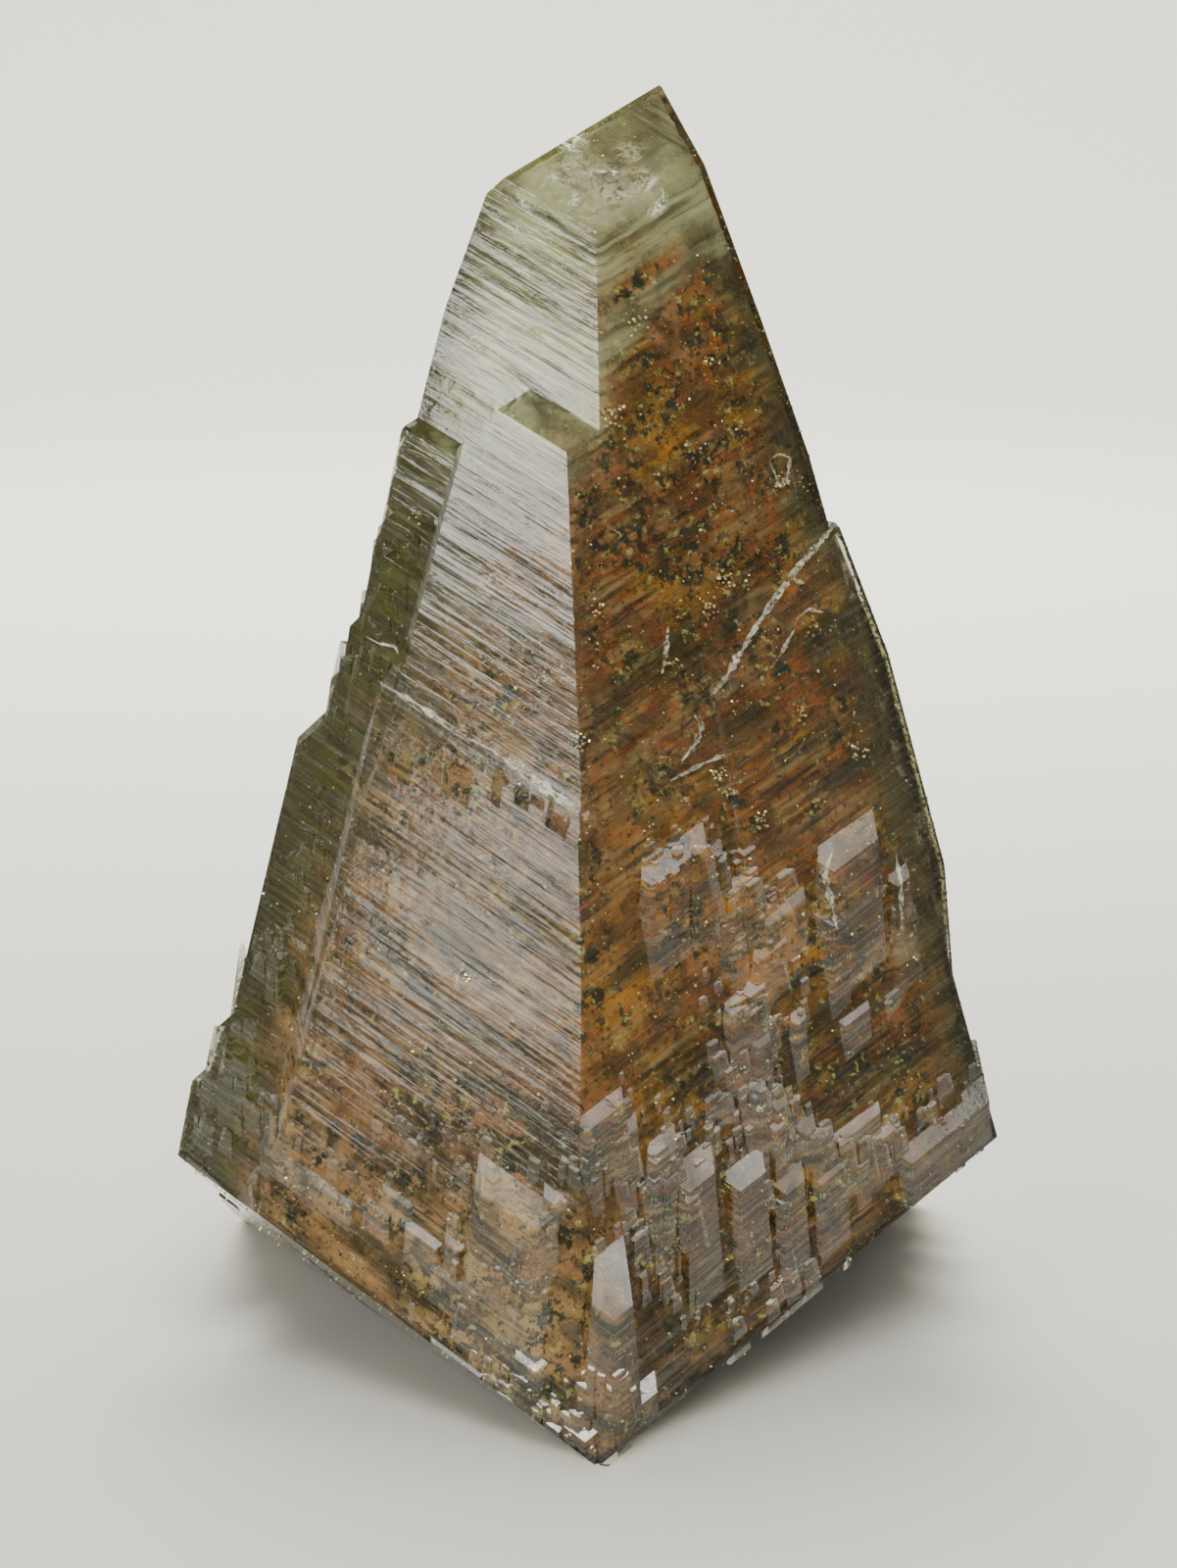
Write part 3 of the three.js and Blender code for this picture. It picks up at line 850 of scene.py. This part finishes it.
# %% [markdown]
# ## The colours of the dust
#
# The dust is not one brown. Over a centimetre it drifts from dull rose through brown and rust to
# amber, pinker on the left. Growth lines streak it dark and pale, because it settled on one growth
# layer after another. Where sulphide gathered there are blackish green clusters with pale specks,
# and the sharp edges are olive. The deep cloud and the dust layer both wear these colours, so they
# are a group. It also says where the brown ends, along the planes that bound the dust, and how near
# the sharp edges are.


# %% The dust group
def beneath(tree, place, plane):
    """How far a place lies under a (normal, point) plane, in metres."""
    normal, point = plane
    return calculate(tree, "SUBTRACT", normal.dot(point), along(tree, place, normal))


def depth_in_dust(tree, place):
    """How deep a place lies in the brown dust, in mm, negative outside it."""
    deepest = None
    for limits in DUST_LIMITS.values():
        least = None
        for plane in limits:
            depth = beneath(tree, place, plane)
            least = depth if least is None else calculate(tree, "MINIMUM", least, depth)
        deepest = least if deepest is None else calculate(tree, "MAXIMUM", deepest, least)
    return calculate(tree, "MULTIPLY", deepest, 1 / MM)


# Amber spots on the front: place and reach in mm
AMBER = [(at(8.1, -28.7, 47.9), 10), (at(17.1, -26.7, 38.2), 7), (at(1.8, -33, 37.6), 9)]


def dust_group():
    group, given, result = new_group(
        "Rust dust",
        {"Vector": VECTOR},
        {"Color": COLOUR, "Brown": NUMBER, "Streaks": NUMBER, "Edge": NUMBER, "Border": NUMBER},
    )
    place = given.outputs["Vector"]
    across, _, height = coordinates(group, place)
    leftward = spread(group, across, 2 * MM, -6 * MM)

    drift = noise(group, place, 9, 5, 0.6, 0.6)
    drift = calculate(group, "MULTIPLY_ADD", leftward, -0.07, drift)
    colour = ramp(
        group,
        drift,
        [
            (0.36, (0.25, 0.115, 0.045)),
            (0.45, (0.14, 0.06, 0.008)),
            (0.5, (0.24, 0.06, 0.006)),
            (0.56, (0.16, 0.085, 0.006)),
            (0.64, (0.36, 0.15, 0.005)),
        ],
    )
    colour = blend(group, calculate(group, "MULTIPLY", leftward, 0.35), colour, (0.38, 0.24, 0.13))
    for centre, reach in AMBER:
        away = measure(group, "DISTANCE", place, centre)
        glow = spread(group, away, reach * MM, 0.3 * reach * MM, 0, 0.6)
        colour = blend(group, glow, colour, (0.4, 0.155, 0.004))
    rightward = calculate(group, "SUBTRACT", 1, leftward)
    low = spread(group, height, 36 * MM, 20 * MM, 0, 0.5)
    low_right = calculate(group, "MULTIPLY", rightward, low)
    colour = blend(group, low_right, colour, (0.05, 0.026, 0.003))
    foot = spread(group, height, 24 * MM, 12 * MM, 0, 0.6)
    foot = calculate(group, "MULTIPLY", leftward, foot)
    colour = blend(group, foot, colour, (0.5, 0.31, 0.13))
    layers = lines(group, place, 11, 1.7, 7, 2)
    colour = blend(group, spread(group, layers, 0.5, 0.37, 0, 0.9), colour, (0.035, 0.03, 0.006))
    colour = blend(group, spread(group, layers, 0.54, 0.68, 0, 0.4), colour, (0.3, 0.21, 0.08))
    patches = spread(group, noise(group, place, 7, 3), 0.42, 0.58)
    streaks = lines(group, place, 7, 0.32, 4, 5)
    pale = calculate(group, "MULTIPLY", spread(group, streaks, 0.52, 0.64, 0, 0.6), patches)
    colour = blend(group, pale, colour, (0.27, 0.22, 0.09))
    dark = calculate(group, "MULTIPLY", spread(group, streaks, 0.48, 0.36, 0, 0.85), patches)
    colour = blend(group, dark, colour, (0.022, 0.018, 0.004))

    clusters = spread(group, noise(group, place, 4.5, 3), 0.42, 0.55)
    rough = noise(group, place, 1.3, 6, 0.72)
    green = calculate(group, "MULTIPLY", spread(group, rough, 0.5, 0.55), clusters)
    colour = blend(group, green, colour, (0.014, 0.018, 0.004))
    specks = noise(group, place, 0.8, 3, 0.6)
    golden = calculate(group, "MULTIPLY", spread(group, specks, 0.6, 0.65), clusters)
    colour = blend(group, golden, colour, (0.34, 0.34, 0.1))
    crumbs = spread(group, noise(group, place, 0.5, 2), 0.58, 0.66, 0, 0.85)
    colour = blend(group, crumbs, colour, (0.02, 0.018, 0.004))

    inside = use_group(group, growth_lines, place).outputs["Inside the sharp edge"]
    from_within, from_beyond = spread(group, inside, 2.4, 0.6), spread(group, inside, -9, -6)
    edge = calculate(group, "MULTIPLY", from_within, from_beyond)
    to_edge = calculate(group, "ABSOLUTE", inside)
    border = spread(group, to_edge, 6, 2.5)
    to_edge = calculate(group, "MULTIPLY_ADD", drift, 9, to_edge)
    colour = blend(group, spread(group, to_edge, 12, 7, 0, 0.85), colour, (0.05, 0.048, 0.016))

    ragged = calculate(group, "MULTIPLY_ADD", layers, 14, depth_in_dust(group, place))
    brown = spread(group, ragged, 4, 10)
    masks = {"Brown": brown, "Streaks": streaks, "Edge": edge, "Border": border}
    fill(group, result, {"Color": colour, **masks})
    return group


rust_dust = dust_group()
print("The dust group has", len(rust_dust.nodes), "nodes")

# %% [markdown]
# ## The clear calcite
#
# Calcite bends light more than window glass does, and this one takes up blue light on the way
# through, which leaves an olive tint where it is thick. Both are plain numbers: the IOR, and the
# colour and density of a volume. The growth lines give the relief and make some strips duller. The
# light path node at the end lets lamps shine straight into the crystal, so that the cloud is lit
# cleanly. Along the sharp edges, over the brown dust, the glass is tinted dark olive and made
# rougher, which darkens the rims.


# %% Make the clear calcite
CALCITE_IOR = 1.6
RELIEF_DEPTH = 0.06 * MM
WORN_PATCH = at(-16, -12, 79)  # where the left edge is worn


def make_clear_calcite():
    material, tree, shader, place = new_material("clear_calcite")
    masks = use_group(tree, rust_dust, place).outputs
    # Along the sharp edges, over the brown dust, the glass is tinted dark olive and made rougher,
    # which darkens the rims.
    rim_darkening = calculate(tree, "MULTIPLY", masks["Brown"], masks["Edge"])
    colour = blend(tree, rim_darkening, (0.97, 0.96, 0.9), (0.1, 0.085, 0.035))
    roughness = spread(tree, rim_darkening, 0, 1, 0.03, 0.25)
    fill(tree, shader, {"Base Color": colour, "Roughness": roughness})
    fill(tree, shader, {"Transmission Weight": 1, "IOR": CALCITE_IOR})

    broad = lines(tree, place, 17, 0.95, 2)
    middle = lines(tree, place, 11, 0.4, 3, 9)
    fine = lines(tree, place, 9, 0.18, 3, 5)
    strength = spread(tree, noise(tree, place, 14, 2), 0.4, 0.6, 0.35, 1)
    worn = measure(tree, "DISTANCE", place, WORN_PATCH)
    strength = calculate(tree, "ADD", strength, spread(tree, worn, 9 * MM, 5 * MM, 0, 1.3))
    relief = calculate(tree, "MULTIPLY", broad, strength)
    relief = calculate(tree, "MULTIPLY_ADD", middle, 0.5, relief)
    relief = calculate(tree, "MULTIPLY_ADD", fine, 0.2, relief)
    relief = calculate(tree, "MULTIPLY_ADD", noise(tree, place, 1.6, 5), 0.45, relief)
    bump = tree.nodes.new("ShaderNodeBump")
    fill(tree, bump, {"Strength": 1, "Distance": RELIEF_DEPTH, "Height": relief})
    frost = spread(tree, fine, 0.46, 0.62)
    fill(tree, shader, {"Normal": bump.outputs[0], "Coat Weight": frost})
    fill(tree, shader, {"Coat Roughness": 0.2, "Coat IOR": CALCITE_IOR})

    volume = tree.nodes.new("ShaderNodeVolumeAbsorption")
    fill(tree, volume, {"Color": (0.52, 0.5, 0.1, 1), "Density": 105})
    path = tree.nodes.new("ShaderNodeLightPath")
    window = tree.nodes.new("ShaderNodeBsdfTransparent")
    fill(tree, window, {"Color": (0.9, 0.9, 0.85, 1)})
    chooser = tree.nodes.new("ShaderNodeMixShader")
    choice = {0: path.outputs["Is Shadow Ray"], 1: shader.outputs[0], 2: window.outputs[0]}
    fill(tree, chooser, choice)
    output = tree.nodes["Material Output"]
    fill(tree, output, {"Surface": chooser.outputs[0], "Volume": volume.outputs[0]})
    return material


clear_calcite = make_clear_calcite()
skin.data.materials.clear()
skin.data.materials.append(clear_calcite)
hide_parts("calcite_crystal")
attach(skin, "root")
print("Clear calcite:", len(clear_calcite.node_tree.nodes), "nodes")

# %% [markdown]
# ## Two materials from the dust
#
# The deep cloud is plain dust. The layer under the faces adds cover: over the brown parts it is
# dense with thin patches, and over the clear parts it is a haze, grey-green at the summit and olive
# on the wing. Elsewhere the haze is palest above 90 mm, which partly paints the sheen of the upper
# left face, and it darkens down to 78 mm, painted shade where that sheen ends.


# %% Colour the cloud and the dust layer
def dusty_material(name):
    material, tree, shader, place = new_material(name)
    fill(tree, shader, {"Roughness": 0.8, "Specular IOR Level": 0.2})
    return material, tree, shader, place, use_group(tree, rust_dust, place).outputs


def make_cloud():
    material, tree, shader, _, dusty = dusty_material("rust_cloud")
    tree.links.new(dusty["Color"], shader.inputs["Base Color"])
    return material


def make_dust_layer():
    material, tree, shader, place, dusty = dusty_material("dust_layer")
    on_wing = spread(tree, beneath(tree, place, LEFT_WING), 3 * MM, -1 * MM)
    above = along(tree, place, cleavage_normal(FRONT))
    top = cleavage_normal(FRONT).dot(at(4.5, -17.2, 97))
    at_summit = spread(tree, calculate(tree, "SUBTRACT", above, top), 0, 5 * MM)
    height = coordinates(tree, place)["Z"]
    # Pale above 90 mm, partly a painted sheen of the upper left face, and dark below 78 mm, painted
    # shade where that sheen ends.
    low = spread(tree, height, 90 * MM, 78 * MM)
    haze = blend(tree, low, (0.5, 0.53, 0.32), (0.1, 0.1, 0.04))
    haze = blend(tree, at_summit, haze, (0.14, 0.14, 0.07))
    haze = blend(tree, on_wing, haze, (0.066, 0.063, 0.006))
    mottle = spread(tree, noise(tree, place, 2.2, 7, 0.75), 0.46, 0.56, 0, 0.75)
    mottled = calculate(tree, "MAXIMUM", on_wing, at_summit)
    mottle = calculate(tree, "MULTIPLY", mottle, mottled)
    haze = blend(tree, mottle, haze, (0.035, 0.036, 0.01))
    below = spread(tree, height, 72 * MM, 60 * MM, 0, 0.85)
    border = calculate(tree, "MULTIPLY", dusty["Border"], below)
    haze = blend(tree, border, haze, (0.05, 0.045, 0.014))
    wisps = dusty["Streaks"]
    haze = blend(tree, spread(tree, wisps, 0.5, 0.36, 0, 0.6), haze, (0.09, 0.085, 0.04))
    colour = blend(tree, dusty["Brown"], haze, dusty["Color"])
    tree.links.new(colour, shader.inputs["Base Color"])

    holes = noise(tree, place, 3.5, 5, 0.65)
    haze_cover = spread(tree, wisps, 0.4, 0.6, 0.3, 0.75)
    haze_cover = calculate(tree, "MULTIPLY_ADD", on_wing, 0.3, haze_cover)
    murk = spread(tree, noise(tree, place, 2.4, 6, 0.7), 0.45, 0.6, 0.05, 0.5)
    haze_cover = blend_values(tree, at_summit, haze_cover, murk)
    dust_cover = spread(tree, holes, 0.4, 0.56, 0.45, 1)
    cover = blend_values(tree, dusty["Brown"], haze_cover, dust_cover)
    tree.links.new(cover, shader.inputs["Alpha"])
    return material


cloud.data.materials.append(make_cloud())
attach(cloud, "root")
dust.data.materials.clear()
dust.data.materials.append(make_dust_layer())
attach(dust, "root")
print("The cloud and the dust layer are coloured")

# %% [markdown]
# ## The fractures' shine and the painted highlights
#
# A crack is bright only where it is open, so its cover is a feathery noise that fades towards the
# rim of each veil. The highlight strips are a pale paint for edges that catch the light, with gaps.


# %% Colour the fractures and the painted highlights
def make_fracture():
    material, tree, shader, place = new_material("fracture_veil")
    feathers = spread(tree, noise(tree, place, 1, 6, 0.75, 1), 0.46, 0.54)
    flat_place = tree.nodes.new("ShaderNodeTexCoord").outputs["UV"]
    fade = spread(tree, measure(tree, "DISTANCE", flat_place, (0.5, 0.5, 0)), 0.48, 0.2)
    alpha = calculate(tree, "MULTIPLY", feathers, fade)
    fill(tree, shader, {"Base Color": (0.9, 0.92, 0.85, 1), "Roughness": 0.35, "Alpha": alpha})
    return material


fractures.data.materials.append(make_fracture())
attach(fractures, "root")


def make_painted_highlight():
    material, tree, shader, place = new_material("painted_highlight")
    tone = spread(tree, noise(tree, place, 0.8, 4, 0.7), 0.4, 0.6)
    # Pale grey-green paint: the painted highlight of the edges that catch the light.
    colour = blend(tree, tone, (0.2, 0.18, 0.12), (0.58, 0.57, 0.49))
    gaps = spread(tree, noise(tree, place, 0.6, 4, 0.7), 0.4, 0.5, 0.1, 1)
    fill(tree, shader, {"Base Color": colour, "Roughness": 0.4, "Alpha": gaps})
    return material


highlight_strips.data.materials.append(make_painted_highlight())
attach(highlight_strips, "root")
print("The fractures and scars are coloured")

# %% [markdown]
# ## The golden metal
#
# The grains are a brassy sulphide: a metal with a pale yellow colour and a slightly dull shine.


# %% Colour the grains
def make_sulphide():
    material, tree, shader, place = new_material("golden_sulphide")
    tone = noise(tree, place, 3)
    colour = blend(tree, spread(tree, tone, 0.4, 0.6), (1, 0.8, 0.42), (0.85, 0.85, 0.45))
    fill(tree, shader, {"Base Color": colour, "Metallic": 1, "Roughness": 0.35})
    return material


sparkle.data.materials.append(make_sulphide())
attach(sparkle, "root")


def make_crust():
    material, tree, shader, place = new_material("edge_crust")
    tone = noise(tree, place, 1.2, 5, 0.7)
    dark, olive, pale = (0.012, 0.014, 0.004), (0.05, 0.042, 0.012), (0.2, 0.18, 0.05)
    colour = ramp(tree, tone, [(0.35, dark), (0.52, olive), (0.64, pale)])
    fill(tree, shader, {"Base Color": colour, "Roughness": 0.5})
    return material


crust.data.materials.append(make_crust())
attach(crust, "root")

# %% [markdown]
# ## Floor and backdrop
#
# The floor is a wide pale dish: flat under the crystal and curving up all around. The curve hides
# the horizon from every side, as a photographer's paper sweep does from one side. It is raised from
# one circle, extruded and widened ring by ring.

# %% Raise the dish
FLOOR = -0.05 * MM
FLAT_RADIUS, WALL_RADIUS, WALL_LEAN, STEPS = 0.9, 0.7, 80, 14
bpy.ops.object.select_all(action="DESELECT")
bpy.ops.mesh.primitive_circle_add(
    vertices=96, radius=FLAT_RADIUS, location=(0, 0, FLOOR), fill_type="NGON"
)
dish = bpy.context.object
dish.name = dish.data.name = "pale_floor"
bpy.ops.object.transform_apply(location=True)
bpy.ops.object.mode_set(mode="EDIT")
bpy.ops.mesh.select_mode(type="EDGE")
bpy.ops.mesh.select_all(action="SELECT")
bpy.ops.mesh.region_to_loop()
radius = FLAT_RADIUS
for step in range(STEPS):
    lean = math.radians(WALL_LEAN * (step + 0.5) / STEPS)
    stride = math.radians(WALL_LEAN / STEPS) * WALL_RADIUS
    wider = radius + stride * math.cos(lean)
    bpy.ops.mesh.extrude_region_move(
        TRANSFORM_OT_translate={"value": (0, 0, stride * math.sin(lean))}
    )
    bpy.ops.transform.resize(value=(wider / radius, wider / radius, 1), center_override=(0, 0, 0))
    radius = wider
bpy.ops.object.mode_set(mode="OBJECT")
bpy.ops.object.shade_smooth()

paper, tree, shader, _ = new_material("pale_paper")
fill(tree, shader, {"Base Color": (0.8, 0.8, 0.77, 1), "Roughness": 0.9})
dish.data.materials.append(paper)
print("The dish is", round(2 * radius, 2), "m across")

# %% [markdown]
# ## Lights
#
# A crystal is seen mostly by what it mirrors, so each light is placed by reflection. The left
# flanks mirror what stands about 40 degrees to the left of the camera. The steep ones at the top
# mirror a soft light higher up, which gives their pale sheen, and the plates below them a smaller
# and dimmer one. The ledges mirror what hangs overhead. The right flanks mirror what stands to the
# right, which stays unlit, so that the colour inside shows.

# %% Hang the lights
MIDDLE = at(0.8, 0, 50.4)


def facing_crystal(data, azimuth, elevation, distance):
    """Hangs a lamp or a camera. Azimuth 0 is the front, positive to the right."""
    turn, rise = math.radians(azimuth), math.radians(elevation)
    away = Vector(
        (math.sin(turn) * math.cos(rise), -math.cos(turn) * math.cos(rise), math.sin(rise))
    )
    thing = bpy.data.objects.new(data.name, data)
    thing.location = MIDDLE + away * distance
    thing.rotation_euler = away.to_track_quat("Z", "Y").to_euler()
    bpy.context.scene.collection.objects.link(thing)
    return thing


def soft_light(name, azimuth, elevation, distance, size, power):
    light = bpy.data.lights.new(name, "AREA")
    light.shape = "RECTANGLE"
    light.size, light.size_y = size
    light.energy = power
    light.color = (1, 0.985, 0.9)
    return facing_crystal(light, azimuth, elevation, distance)


soft_light("left_window", -37, 27, 0.75, (0.27, 0.2), 1.5)
soft_light("low_left_window", -42, 11, 0.75, (0.11, 0.075), 0.13)
soft_light("front_top", 8, 52, 0.8, (0.3, 0.3), 4)
soft_light("ledge_light", 12, 69, 0.8, (0.24, 0.2), 0.47)


def wash(azimuth, power):
    """A lamp above and behind the crystal that lights only the backdrop."""
    lamp = soft_light("backdrop_wash", azimuth, 62, 0.9, (0.5, 0.5), power)
    wall = polar(azimuth - 90, 1.1, 0.25)
    lamp.rotation_euler = (lamp.location - wall).to_track_quat("Z", "Y").to_euler()


for azimuth in (145, 180, 215):
    wash(azimuth, 11.5)

world = bpy.data.worlds.new("studio")
world.use_nodes = True
background = world.node_tree.nodes["Background"]
fill(world.node_tree, background, {"Color": (0.94, 0.94, 0.92, 1), "Strength": 0.17})
bpy.context.scene.world = world
print("There are", len(bpy.data.lights), "lights")

# %% [markdown]
# ## Camera
#
# The photo looks at the front edge from 12.6 degrees above, close enough for some perspective. The
# distance, the angle and the field of view were fitted to the corners of the crystal.

# %% Place the camera
FIELD_OF_VIEW = 30  # degrees, from top to bottom
lens = bpy.data.cameras.new("camera")
lens.sensor_fit = "VERTICAL"
lens.sensor_height = 24
lens.lens = lens.sensor_height / 2 / math.tan(math.radians(FIELD_OF_VIEW / 2))
lens.clip_start = 0.01
camera = facing_crystal(lens, azimuth=-2.6, elevation=12.6, distance=0.285)
bpy.context.scene.camera = camera
print("The camera stands at", camera.location)
